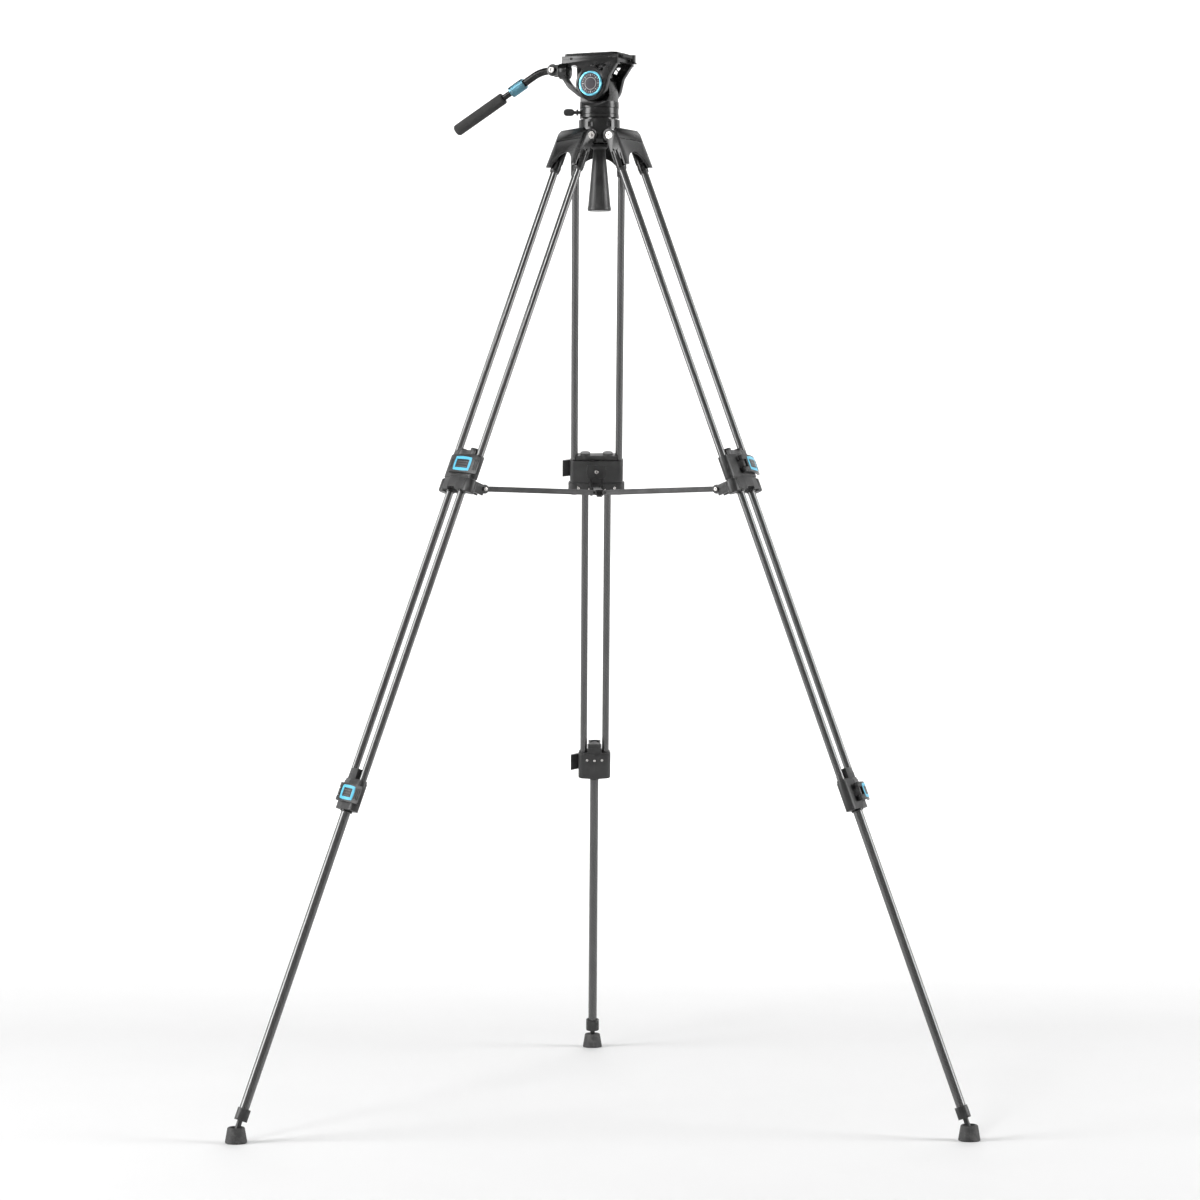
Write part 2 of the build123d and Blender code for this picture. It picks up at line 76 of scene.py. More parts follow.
def leg_frame(leg):
    """X outward, Y along the pivot bolt, Z up the leg, from the pivot."""
    fold = joints[f"leg_fold_{leg}"]
    y = Vector(fold["axis"])
    z = Vector(joints[f"middle_slide_{leg}"]["axis"])
    return local_frame(Vector(fold["pos_m"]), y.cross(z), y, z)


LEGS = {leg: leg_frame(leg) for leg in (1, 2, 3)}
AXIS = Vector(joints["pan"]["pos_m"])
AXIS.z = 0
HEAD_X = Vector(joints["plate_slide"]["axis"])
HEAD_Y = Vector(joints["tilt"]["axis"])
HEAD = local_frame(AXIS, HEAD_X, HEAD_Y, Vector((0, 0, 1)))
GRIP_Z = Vector(joints["handle_extend"]["axis"])
GRIP = local_frame(Vector(joints["sleeve_twist"]["pos_m"]), HEAD_Y.cross(GRIP_Z), HEAD_Y, GRIP_Z)


# ---------------------------------------------------------------- node helpers

class Net:
    """Builds one node tree: every method returns an output socket."""

    def __init__(self, name, slot):
        self.mat = bpy.data.materials.new(name)
        self.mat.use_nodes = True
        self.slot = slot
        self.tree = self.mat.node_tree
        self.shader = self.tree.nodes["Principled BSDF"]

    def node(self, kind, **settings):
        made = self.tree.nodes.new(kind)
        for key, value in settings.items():
            setattr(made, key, value)
        return made

    def link(self, source, target):
        if isinstance(source, (int, float, tuple)):
            target.default_value = source
        else:
            self.tree.links.new(source, target)

    def math(self, operation, *values):
        made = self.node("ShaderNodeMath", operation=operation)
        for value, socket in zip(values, made.inputs):
            self.link(value, socket)
        return made.outputs[0]

    def coords(self, kind="Object"):
        return self.node("ShaderNodeTexCoord").outputs[kind]

    def noise(self, scale, detail=4.0, rough=0.55, at=None):
        made = self.node("ShaderNodeTexNoise")
        self.link(at or self.coords(), made.inputs["Vector"])
        made.inputs["Scale"].default_value = scale
        made.inputs["Detail"].default_value = detail
        made.inputs["Roughness"].default_value = rough
        return made.outputs["Fac"]

    def cells(self, scale, feature="F1", at=None):
        made = self.node("ShaderNodeTexVoronoi", feature=feature)
        self.link(at or self.coords(), made.inputs["Vector"])
        made.inputs["Scale"].default_value = scale
        return made.outputs["Distance"]

    def spread(self, value, low, high, to_low=0.0, to_high=1.0):
        made = self.node("ShaderNodeMapRange")
        made.interpolation_type = "SMOOTHSTEP"
        numbers = (value, low, high, to_low, to_high)
        for number, socket in zip(numbers, made.inputs):
            self.link(number, socket)
        return made.outputs[0]

    def mix(self, factor, a, b):
        made = self.node("ShaderNodeMix", data_type="RGBA")
        self.link(factor, made.inputs["Factor"])
        self.link(a, made.inputs["A"])
        self.link(b, made.inputs["B"])
        return made.outputs["Result"]

    def edges(self, radius):
        """0 on flat faces and 1 along edges, and the rounded normal."""
        soft = self.node("ShaderNodeBevel", samples=4)
        soft.inputs["Radius"].default_value = radius
        flat = self.node("ShaderNodeNewGeometry").outputs["Normal"]
        dot = self.node("ShaderNodeVectorMath", operation="DOT_PRODUCT")
        self.link(soft.outputs[0], dot.inputs[0])
        self.link(flat, dot.inputs[1])
        return self.spread(dot.outputs["Value"], 0.995, 0.86), soft.outputs[0]

    def bump(self, height, distance, strength=1.0, normal=None):
        made = self.node("ShaderNodeBump")
        made.inputs["Strength"].default_value = strength
        made.inputs["Distance"].default_value = distance
        self.link(height, made.inputs["Height"])
        if normal is not None:
            self.link(normal, made.inputs["Normal"])
        return made.outputs[0]

    def finish(self, colour, roughness, normal=None, **fixed):
        self.link(colour, self.shader.inputs["Base Color"])
        self.link(roughness, self.shader.inputs["Roughness"])
        if normal is not None:
            self.link(normal, self.shader.inputs["Normal"])
        for key, value in fixed.items():
            self.shader.inputs[key.replace("_", " ")].default_value = value
        return self


def grey(level, warm=0.0):
    return (level * (1 + warm), level, level * (1 - warm), 1.0)


# ---------------------------------------------------------------- materials

def moulded(name, slot, dark, light, worn, rough, grain, depth, edge=0.0006, specular=0.36):
    """Moulded or cast surface: fine grain, slow blotches, paler worn edges."""
    net = Net(name, slot)
    blotch = net.spread(net.noise(38, 5), 0.35, 0.65)
    colour = net.mix(blotch, dark, light)
    rim, rounded = net.edges(edge)
    scuff = net.math("MULTIPLY", rim, net.spread(net.noise(160, 3), 0.42, 0.62))
    colour = net.mix(scuff, colour, worn)
    fine = net.noise(grain, 2, 0.7)
    smears = net.spread(net.noise(21, 6, 0.7), 0.3, 0.7, rough - 0.05, rough + 0.08)
    normal = net.bump(fine, depth, 0.35, rounded)
    return net.finish(colour, smears, normal, Specular_IOR_Level=specular)


def woven_carbon(name, slot):
    """2x2 twill under clear resin: UVs count the weave's own cells."""
    ripple = 44.0
    net = Net(name, slot)
    split = net.node("ShaderNodeSeparateXYZ")
    net.link(net.coords("UV"), split.inputs[0])
    u, v = split.outputs[0], split.outputs[1]
    step = net.math("ADD", net.math("FLOOR", u), net.math("FLOOR", v))
    warp = net.math("LESS_THAN", net.math("FLOORED_MODULO", step, 4.0), 2.0)
    across_u = net.math("SINE", net.math("MULTIPLY", net.math("FRACT", u), math.pi))
    across_v = net.math("SINE", net.math("MULTIPLY", net.math("FRACT", v), math.pi))
    crown = net.mix(warp, across_v, across_u)
    fibre_u = net.math("SINE", net.math("MULTIPLY", u, ripple))
    fibre_v = net.math("SINE", net.math("MULTIPLY", v, ripple))
    fibre = net.math("MULTIPLY", net.mix(warp, fibre_v, fibre_u), 0.12)
    # Two tones on the real twill pattern: the warp cells are painted lighter than the weft cells, a painted
    # sheen standing in for the fibres' directional reflection.
    twill_painted_sheen = net.mix(warp, grey(0.003), grey(0.014, 0.04))
    slow = net.spread(net.noise(14, 4), 0.35, 0.65, 0.75, 1.25)
    tint = net.node("ShaderNodeMix", data_type="RGBA", blend_type="MULTIPLY")
    tint.inputs["Factor"].default_value = 1.0
    net.link(twill_painted_sheen, tint.inputs["A"])
    net.link(slow, tint.inputs["B"])
    height = net.math("ADD", crown, fibre)
    rough = net.mix(warp, grey(0.42), grey(0.30))
    net.finish(tint.outputs["Result"], rough, net.bump(height, 0.00012, 0.5))
    net.shader.inputs["Coat Weight"].default_value = 1.0
    net.shader.inputs["Coat Roughness"].default_value = 0.10
    net.shader.inputs["Coat IOR"].default_value = 1.75
    net.shader.inputs["Specular IOR Level"].default_value = 0.5
    return net


def turned_metal(name, slot, colour, pale, rough):
    """Turned and anodised or plated metal: fine lathe lines and light wear."""
    net = Net(name, slot)
    rim, rounded = net.edges(0.0005)
    stretched = net.node("ShaderNodeMapping")
    stretched.inputs["Scale"].default_value = (1.0, 1.0, 40.0)
    net.link(net.coords(), stretched.inputs["Vector"])
    lines = net.noise(60, 3, 0.6, stretched.outputs[0])
    body = net.mix(net.spread(lines, 0.3, 0.7), colour, pale)
    body = net.mix(net.math("MULTIPLY", rim, net.noise(220, 2)), body, grey(0.62))
    smear = net.spread(net.noise(30, 5), 0.3, 0.7, rough - 0.06, rough + 0.08)
    return net.finish(body, smear, net.bump(lines, 0.00003, 0.3, rounded), Metallic=1.0)


def soft_foam(name, slot):
    """Closed-cell foam sleeve: small open pores with painted shade in them, and a faint mottle."""
    net = Net(name, slot)
    pore_pits_and_shade = net.spread(net.cells(950), 0.05, 0.55)
    mottle = net.spread(net.noise(90, 4), 0.35, 0.65)
    colour = net.mix(mottle, grey(0.018, 0.03), grey(0.034, 0.02))
    # The pore centres are painted near-black as painted shade in the pits. The same mask also bumps the
    # pits.
    colour = net.mix(pore_pits_and_shade, grey(0.008), colour)
    normal = net.bump(net.math("ADD", pore_pits_and_shade, net.noise(420, 3)), 0.0003, 0.55)
    return net.finish(colour, net.spread(mottle, 0.0, 1.0, 0.78, 0.92), normal, Sheen_Weight=0.12)


def mottled_rubber(name, slot):
    """Matt rubber with dusty patches, small lumps and paler edges."""
    net = Net(name, slot)
    rim, rounded = net.edges(0.0009)
    dust = net.spread(net.noise(70, 7, 0.72), 0.45, 0.68)
    colour = net.mix(dust, grey(0.030), grey(0.085, 0.02))
    colour = net.mix(net.math("MULTIPLY", rim, 0.5), colour, grey(0.13, 0.02))
    lumps = net.math("ADD", net.noise(240, 4), net.math("MULTIPLY", net.cells(330), 0.6))
    normal = net.bump(lumps, 0.0006, 0.6, rounded)
    return net.finish(colour, net.spread(dust, 0.0, 1.0, 0.62, 0.85), normal)


CARBON = woven_carbon("carbon_twill", "carbon_tube")
CAST = moulded(
    "satin_casting", "black_cast", grey(0.0022), grey(0.0045), grey(0.06),
    rough=0.22, grain=900, depth=0.00010, specular=0.5,
)
PLASTIC = moulded(
    "clamp_nylon", "black_plastic", grey(0.013), grey(0.024), grey(0.10),
    rough=0.40, grain=700, depth=0.00018, specular=0.5,
)
LEVER = moulded(
    "lever_nylon", "lever_plastic", grey(0.020), grey(0.032), grey(0.10),
    rough=0.36, grain=700, depth=0.00014,
)
ARM = moulded(
    "spreader_nylon", "arm_plastic", grey(0.060), grey(0.085), grey(0.18),
    rough=0.40, grain=600, depth=0.00014,
)
DIAL = moulded(
    "dial_plastic", "dial_plastic", (0.030, 0.026, 0.034, 1), (0.044, 0.038, 0.048, 1), grey(0.12),
    rough=0.40, grain=800, depth=0.00010,
)
MARK = moulded(
    "dial_print", "dial_plastic", grey(0.55), grey(0.66), grey(0.75),
    rough=0.5, grain=900, depth=0.00003, edge=0.0001,
)
INLAY = moulded(
    "blue_inlay", "lever_plastic", (0.075, 0.440, 0.640, 1), (0.100, 0.510, 0.710, 1), (0.30, 0.62, 0.74, 1),
    rough=0.36, grain=500, depth=0.00008,
)
BLUE = turned_metal(
    "blue_anodised", "blue_anodised", (0.085, 0.205, 0.265, 1), (0.125, 0.270, 0.335, 1), 0.33,
)
RING = turned_metal(
    "bright_blue_anodised", "blue_anodised", (0.12, 0.46, 0.62, 1), (0.20, 0.56, 0.70, 1), 0.28,
)
BLACK = turned_metal("black_anodised", "black_anodised", grey(0.022), grey(0.050), 0.30)
STEEL = turned_metal("bright_steel", "steel", grey(0.50, 0.03), grey(0.66, 0.03), 0.24)
RUBBER = mottled_rubber("foot_rubber", "rubber")
FOAM = soft_foam("foam_grip", "foam")
BY_SLOT = {
    net.slot: net
    for net in (CARBON, CAST, PLASTIC, LEVER, ARM, DIAL, BLUE, BLACK, STEEL, RUBBER, FOAM)
}

SLOT_OF = {name: node.material_slots[0].material.name for name, node in nodes.items()}
for name, node in nodes.items():
    for place in node.material_slots:
        place.material = BY_SLOT[SLOT_OF[name]].mat


# ---------------------------------------------------------------- mesh helpers

def shade_smooth(mesh):
    mesh.polygons.foreach_set("use_smooth", [True] * len(mesh.polygons))


def piece(name, bm, net, place, body, angle=35):
    """Turns a bmesh in a local frame into a piece that rides on a body.
    Edges sharper than the angle, in degrees, stay sharp."""
    bm.transform(place)
    if place.determinant() < 0:
        bmesh.ops.reverse_faces(bm, faces=bm.faces)
    mesh = bpy.data.meshes.new(name)
    bm.to_mesh(mesh)
    bm.free()
    made = bpy.data.objects.new(name, mesh)
    bpy.context.scene.collection.objects.link(made)
    mesh.materials.append(net.mat)
    shade_smooth(mesh)
    mesh.set_sharp_from_angle(angle=math.radians(angle))
    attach(made, body)
    return made


def lathe(bm, profile, at=Matrix(), segments=48, cells=(24, 1.7), turn=None):
    """Adds a surface turned about Z, closed at both ends. The profile is (radius, height)
    pairs, from the low end up, and turn(radius, height, angle) can change a radius. The
    cells are the number of weave cells around, and one cell's length."""
    uv = bm.loops.layers.uv.verify()
    rings = []
    for radius, height in profile:
        ring = []
        for k in range(segments):
            a = 2 * math.pi * k / segments
            r = radius if turn is None else turn(radius, height, a)
            ring.append(bm.verts.new(at @ Vector((r * math.cos(a), r * math.sin(a), height))))
        rings.append(ring)
    along = [0.0]
    for (r0, h0), (r1, h1) in zip(profile, profile[1:]):
        along.append(along[-1] + math.hypot(r1 - r0, h1 - h0) / cells[1])
    for i in range(len(rings) - 1):
        for k in range(segments):
            n = (k + 1) % segments
            face = bm.faces.new((rings[i][k], rings[i][n], rings[i + 1][n], rings[i + 1][k]))
            us = (k, k + 1, k + 1, k)
            vs = (along[i], along[i], along[i + 1], along[i + 1])
            for loop, a, b in zip(face.loops, us, vs):
                loop[uv].uv = (a * cells[0] / segments, b)
    for ring, flip in ((rings[0], True), (rings[-1], False)):
        cap = bm.faces.new(list(reversed(ring)) if flip else ring)
        for loop in cap.loops:
            loop[uv].uv = (loop.vert.co.x / cells[1], loop.vert.co.y / cells[1])


def extent(node, place):
    """The box of a node in a local frame, in millimetres."""
    back = place.inverted()
    points = [back @ v.co for v in nodes[node].data.vertices]
    low = Vector(min(p[i] for p in points) for i in range(3))
    high = Vector(max(p[i] for p in points) for i in range(3))
    return low, high


def rounded(node, width, net=None, angle=32):
    """Stands in for a CAD node: the same shape with its edges rounded where they
    are sharper than the angle, in degrees."""
    source = nodes[node]
    bm = bmesh.new()
    bm.from_mesh(source.data)
    bmesh.ops.remove_doubles(bm, verts=bm.verts, dist=2e-6)
    bmesh.ops.dissolve_limit(bm, angle_limit=math.radians(0.6), verts=bm.verts, edges=bm.edges)
    limit = math.radians(angle)
    sharp = [e for e in bm.edges if len(e.link_faces) == 2 and e.calc_face_angle(0) > limit]
    bmesh.ops.bevel(
        bm, geom=sharp, offset=width * MM, segments=2, profile=0.6, affect="EDGES", clamp_overlap=True,
    )
    made = piece(f"{node}_shell", bm, net or BY_SLOT[SLOT_OF[node]], Matrix(), source["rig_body"])
    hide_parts(node)
    return made


TREES = {}


def surface(node, place, point, out):
    """Where a ray from outside, against the way out, towards a local point meets a node."""
    ray_start = 90
    if node not in TREES:
        mesh = nodes[node].data
        corners = [v.co for v in mesh.vertices]
        TREES[node] = BVHTree.FromPolygons(corners, [p.vertices for p in mesh.polygons])
    start = place @ (Vector(point) + ray_start * Vector(out))
    way = place @ Vector(point) - start
    hit = TREES[node].ray_cast(start, way.normalized())[0]
    return place.inverted() @ hit


def surface_x(node, place, y, z, side=1):
    """The local x where a ray from the +X or -X side meets a node."""
    return surface(node, place, (0, y, z), (side, 0, 0)).x


def rounded_loop(middle, half, radius, inset, count=72):
    """Points (y, z) round a rounded rectangle, drawn in by the inset. A larger crowding
    puts more of the points in the corners."""
    crowding = 1.6
    points = []
    reach = max(radius - inset, 0.05)
    flat_y, flat_z = half[0] - inset - reach, half[1] - inset - reach
    for k in range(count):
        a = 2 * math.pi * k / count
        c, s = math.cos(a), math.sin(a)
        cy = flat_y * max(-1.0, min(1.0, crowding * c))
        cz = flat_z * max(-1.0, min(1.0, crowding * s))
        points.append((middle[0] + cy + reach * c, middle[1] + cz + reach * s))
    return points


def ring_on(bm, node, place, middle, half, radius, width, lift, side=1):
    """Adds a raised rounded frame that follows the face of a node."""
    foot, edge = -0.6, 0.25
    section = (
        (0, foot), (0, lift - edge), (edge, lift),
        (width - edge, lift), (width, lift - edge), (width, foot),
    )
    rows = []
    for inset, height in section:
        row = []
        for y, z in rounded_loop(middle, half, radius, inset):
            x = surface_x(node, place, y, z, side) + side * height
            row.append(bm.verts.new((x, y, z)))
        rows.append(row)
    for a, b in zip(rows, rows[1:]):
        for k in range(len(a)):
            n = (k + 1) % len(a)
            corners = (a[k], a[n], b[n], b[k])
            bm.faces.new(corners if side < 0 else tuple(reversed(corners)))


def patch_on(bm, node, place, middle, half, lift, side=1, steps=(40, 12)):
    """Adds a raised pad that follows the face of a node. lift(u, v) is its height, for
    u and v from 0 to 1, and its rim dips under the face."""
    rim_depth = 0.5
    rows = []
    for i in range(steps[0] + 1):
        row = []
        for j in range(steps[1] + 1):
            u, v = i / steps[0], j / steps[1]
            y = middle[0] + half[0] * (2 * u - 1)
            z = middle[1] + half[1] * (2 * v - 1)
            rim = i in (0, steps[0]) or j in (0, steps[1])
            height = -rim_depth if rim else lift(u, v)
            x = surface_x(node, place, y, z, side) + side * height
            row.append(bm.verts.new((x, y, z)))
        rows.append(row)
    for a, b in zip(rows, rows[1:]):
        for k in range(len(a) - 1):
            corners = (a[k], b[k], b[k + 1], a[k + 1])
            bm.faces.new(corners if side > 0 else tuple(reversed(corners)))


def aim(point, way):
    """A matrix with Z along way, at point."""
    return Matrix.Translation(point) @ Vector(way).to_track_quat("Z", "Y").to_matrix().to_4x4()


def hexagon(radius, height, a):
    """A turn for lathe: a positive radius stays round, and a negative one is a hexagon's."""
    if radius < 0:
        return -radius / math.cos((a % (math.pi / 3)) - math.pi / 6) * math.cos(math.pi / 6)
    return radius


def screw(bm, point, way, radius, height):
    """A socket screw's head. The key's radii are negative, so that it is hexagonal."""
    key = -0.52 * radius
    sunk = -0.6
    profile = [
        (radius * 0.96, sunk), (radius, 0.0), (radius, height * 0.72), (radius * 0.93, height * 0.93),
        (radius * 0.84, height), (key * 1.08, height), (key, height * 0.94), (key, height * 0.25),
        (key * 0.1, height * 0.18),
    ]
    lathe(bm, profile, aim(point, way), segments=36, turn=hexagon)


def slab(bm, x, y, z, bevel=0.5, at=Matrix()):
    """Adds a block with rounded edges."""
    corners = [bm.verts.new(at @ Vector((a, b, c))) for a in x for b in y for c in z]
    order = ((0, 1, 3, 2), (4, 6, 7, 5), (0, 4, 5, 1), (2, 3, 7, 6), (0, 2, 6, 4), (1, 5, 7, 3))
    faces = [bm.faces.new([corners[k] for k in f]) for f in order]
    edges = {e for f in faces for e in f.edges}
    bmesh.ops.bevel(
        bm, geom=list(edges), offset=bevel, segments=2, profile=0.6, affect="EDGES", clamp_overlap=True,
    )


# ---------------------------------------------------------------- carbon tubes

WEAVE_CELL = 1.7


def tube_places(leg, node):
    """The radius of a leg's tubes, and each tube's local y: one or two tubes in a node."""
    low, high = extent(node, LEGS[leg])
    radius = (high.x - low.x) / 2
    pair = high.y - low.y > 3 * radius
    return radius, (low.y + radius, high.y - radius) if pair else (0.0,)


def tube_piece(leg, name, node, body):
    """Carbon tubes that stand in for a leg's tube node, with chamfered ends."""
    low, high = extent(node, LEGS[leg])
    radius, offsets = tube_places(leg, node)
    around = 4 * round(2 * math.pi * radius / WEAVE_CELL / 4)
    edge = 0.5
    profile = [
        (radius - edge, low.z), (radius, low.z + edge),
        (radius, high.z - edge), (radius - edge, high.z),
    ]
    bm = bmesh.new()
    for y in offsets:
        lathe(bm, profile, Matrix.Translation((0, y, 0)), cells=(around, 2 * math.pi * radius / around))
    made = piece(f"{name}_{leg}", bm, CARBON, LEGS[leg], f"{body}_{leg}")
    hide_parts(node)


for leg in LEGS:
    tube_piece(leg, "carbon_upper", f"upper_tubes_{leg}", "leg")
    tube_piece(leg, "carbon_middle", f"middle_tubes_{leg}", "middle")
    tube_piece(leg, "carbon_lower", f"lower_tube_{leg}", "lower")


# ---------------------------------------------------------------- rounded castings

LEG_EDGES = {
    "yoke": 0.9, "mid_clamp": 0.7, "mid_lever": 0.6, "tube_bridge": 0.6, "lower_clamp": 0.7,
    "lower_lever": 0.6, "foot_collar": 0.6, "foot": 0.8, "spreader_arm": 0.5,
}
HEAD_EDGES = {
    "bowl_spider": 0.7, "spreader_hub": 0.5, "tilt_housing": 0.8, "cradle": 0.7, "quick_plate": 0.5,
    "plate_lock_lever": 0.8, "tilt_lock_lever": 0.9, "pan_lock_lever": 1.0, "handle_clevis": 0.6,
    "handle_arm": 0.6, "drag_dial": 0.4, "pan_base": 0.5,
}
for stem, width in LEG_EDGES.items():
    for leg in LEGS:
        rounded(f"{stem}_{leg}", width)
for name, width in HEAD_EDGES.items():
    rounded(name, width)
rounded("bowl_clamp_knob", 0.2, LEVER)
rounded("dial_ring", 0.35, RING)


# ---------------------------------------------------------------- leg fittings

MID_LEVER_Z, LOWER_LEVER_Z = -618, -1212
MID_CLAMP_END = -664
LOWER_CLAMP_END = -1243
ARM_PIVOT = Vector((-45, 0, -640))


def ridges(base, height, count, across_u):
    """A lift for patch_on: rounded ridges across one of its directions."""
    def lift(u, v):
        return base + height * abs(math.sin(count * math.pi * (u if across_u else v)))
    return lift


def lever_face(leg, stem, pin_y, tip_y, middle_z):
    """Blue inset frame, ribbed centre and grip ridges on a clamp lever."""
    node, body, place = f"{stem}_{leg}", f"{stem}_{leg}", LEGS[leg]
    span = tip_y - pin_y
    middle = (pin_y + span * 0.49, middle_z)
    half = (span * 0.29, 12.8)
    bm = bmesh.new()
    ring_on(bm, node, place, middle, half, radius=4.5, width=5.2, lift=0.55)
    piece(f"{stem}_inlay_{leg}", bm, INLAY, place, body)
    bm = bmesh.new()
    inner = (half[0] - 6.6, half[1] - 6.4)
    patch_on(bm, node, place, middle, inner, ridges(0.25, 0.45, 3, False), steps=(24, 36))
    piece(f"{stem}_panel_{leg}", bm, PLASTIC, place, body)
    bm = bmesh.new()
    tab = (tip_y - 6.5, middle_z)
    patch_on(bm, node, place, tab, (4.2, 11.5), ridges(0.1, 0.6, 3, True), steps=(36, 8))
    piece(f"{stem}_grip_{leg}", bm, LEVER, place, body)


def back_screw(bm, leg, node, y, z, radius, height):
    """A socket screw on the inner face of one of a leg's nodes."""
    place = LEGS[leg]
    screw(bm, (surface_x(node, place, y, z, -1), y, z), (-1, 0, 0), radius, height)


def lathe_on_tubes(leg, name, tubes, section, net, body):
    """A collar round each tube of a node: section is (out from the tube, height) pairs."""
    radius, offsets = tube_places(leg, tubes)
    bm = bmesh.new()
    for y in offsets:
        lathe(bm, [(radius + out, z) for out, z in section], Matrix.Translation((0, y, 0)))
    piece(f"{name}_{leg}", bm, net, LEGS[leg], body)


def mid_clamp_details(leg):
    """The framed panel, the screws and the tube sockets of a mid clamp."""
    place, node, body, end = LEGS[leg], f"mid_clamp_{leg}", f"leg_{leg}", MID_CLAMP_END
    bm = bmesh.new()
    ring_on(bm, node, place, (0, MID_LEVER_Z), (18, 13.5), radius=3.5, width=1.5, lift=0.8, side=-1)
    piece(f"mid_clamp_frame_{leg}", bm, PLASTIC, place, body)
    bm = bmesh.new()
    back_screw(bm, leg, node, 0, MID_LEVER_Z, 3.6, 2.2)
    for side in (-1, 1):
        back_screw(bm, leg, node, side * 33, end + 14, 2.7, 1.6)
        screw(bm, ARM_PIVOT + Vector((0, side * 13.5, 0)), (0, side, 0), 3.3, 1.6)
    piece(f"mid_clamp_screws_{leg}", bm, STEEL, place, body)
    bush = [(0.15, end + 0.6), (1.3, end + 0.6), (1.7, end + 1.2), (1.7, end + 4)]
    lathe_on_tubes(leg, "mid_clamp_bushes", f"middle_tubes_{leg}", bush, BLACK, body)
    socket = [
        (-1, end), (3.4, end), (4.3, end + 1), (4.5, end + 3),
        (4.5, end + 20.5), (3.9, end + 22), (1, end + 22.5),
    ]
    lathe_on_tubes(leg, "mid_clamp_sockets", f"upper_tubes_{leg}", socket, PLASTIC, body)


def lower_clamp_details(leg):
    """The screws and the seal of a lower clamp, and the plug on top of the lower tube."""
    node, end = f"lower_clamp_{leg}", LOWER_CLAMP_END
    bm = bmesh.new()
    for y in (-14, 0, 14):
        back_screw(bm, leg, node, y, LOWER_LEVER_Z + 12, 2.3, 1.3)
    piece(f"lower_clamp_screws_{leg}", bm, STEEL, LEGS[leg], f"middle_{leg}")
    seal = [(0.12, end + 0.6), (1.6, end + 0.6), (2.2, end + 1.4), (2.2, end + 5)]
    lathe_on_tubes(leg, "lower_clamp_bush", f"lower_tube_{leg}", seal, BLACK, f"middle_{leg}")
    radius = tube_places(leg, f"lower_tube_{leg}")[0]
    top = extent(f"lower_tube_{leg}", LEGS[leg])[1].z
    plug = [
        (-2, top - 3), (-0.4, top - 0.4), (-0.4, top + 3.4), (-1.4, top + 4.6), (2 - radius, top + 5),
    ]
    lathe_on_tubes(leg, "lower_tube_plug", f"lower_tube_{leg}", plug, PLASTIC, f"lower_{leg}")


def yoke_details(leg):
    """Grub screws and tube collars at a yoke's two sockets."""
    socket_end = -65
    tubes = f"upper_tubes_{leg}"
    bm = bmesh.new()
    for y in tube_places(leg, tubes)[1]:
        back_screw(bm, leg, f"yoke_{leg}", y, socket_end + 10, 2.2, 1.2)
    piece(f"yoke_screws_{leg}", bm, STEEL, LEGS[leg], f"leg_{leg}")
    collar = [(0.05, socket_end), (1.1, socket_end), (1.7, socket_end + 0.8), (1.8, socket_end + 4)]
    lathe_on_tubes(leg, "yoke_collars", tubes, collar, PLASTIC, f"leg_{leg}")


def arm_details(leg):
    """A raised spine along a spreader arm, with a boss at each end."""
    swing = joints[f"arm_swing_{leg}"]
    start, way = Vector(swing["pos_m"]), Vector(swing["axis"])
    along = LEGS[leg] @ ARM_PIVOT - start
    place = local_frame(start, along, way, along.cross(way))
    length = along.length / MM
    face = 3.9
    bm = bmesh.new()
    slab(bm, (16, length - 16), (-2.4, 2.4), (face, face + 1.2), 0.5)
    for x in (11, length - 11):
        slab(bm, (x - 1.5, x + 1.5), (-5.6, 5.6), (face, face + 1.0), 0.4)
    piece(f"spreader_spine_{leg}", bm, ARM, place, f"arm_{leg}")


for leg in LEGS:
    lever_face(leg, "mid_lever", -12, 62, MID_LEVER_Z)
    lever_face(leg, "lower_lever", -8, 44.5, LOWER_LEVER_Z)
    mid_clamp_details(leg)
    lower_clamp_details(leg)
    yoke_details(leg)
    arm_details(leg)


# ---------------------------------------------------------------- head fittings

def dial_marks():
    """Plain tick marks round the drag dial, and a thin inner circle."""
    marks, outer = 24, 16.2
    low, high = extent("drag_dial", HEAD)
    at = Matrix.Translation((0, low.y, (low.z + high.z) / 2)) @ Matrix.Rotation(math.pi / 2, 4, "X")
    bm = bmesh.new()
    for k in range(marks):
        inner, half_width = (12.6, 0.45) if k % 3 == 0 else (14.2, 0.28)
        turn = at @ Matrix.Rotation(2 * math.pi * k / marks, 4, "Z")
        slab(bm, (inner, outer), (-half_width, half_width), (-0.3, 0.22), 0.08, turn)
    circle = [(10.1, -0.3), (10.1, 0.2), (10.6, 0.2), (10.6, -0.3)]
    lathe(bm, circle, at, segments=64)
    piece("dial_marks", bm, MARK, HEAD, "tilt")


def plate_pads():
    """Ribbed rubber pads on the quick release plate."""
    ribs, margin = 7, 2
    low, high = extent("quick_plate", HEAD)
    top = (HEAD.inverted() @ Vector(mounts["plate_top"]["pos_m"])).z
    bm = bmesh.new()
    for x0, x1 in ((low.x + 8, low.x + 30), (high.x - 30, high.x - 10)):
        slab(bm, (x0, x1), (-27, 27), (top - 0.5, top + 0.35), 0.3)
        for k in range(ribs):
            x = x0 + margin + (x1 - x0 - 2 * margin) * k / (ribs - 1)
            slab(bm, (x - 0.7, x + 0.7), (-25.5, 25.5), (top, top + 0.9), 0.25)
    piece("plate_pads", bm, RUBBER, HEAD, "plate")


def threaded(pitch, depth, radius):
    """A turn for lathe: a screw thread wherever the profile is at its full radius."""
    def turn(r, z, a):
        if r < radius - 0.01:
            return r
        phase = (z / pitch - a / (2 * math.pi)) % 1.0
        return r - depth * (1 - abs(2 * phase - 1))
    return turn


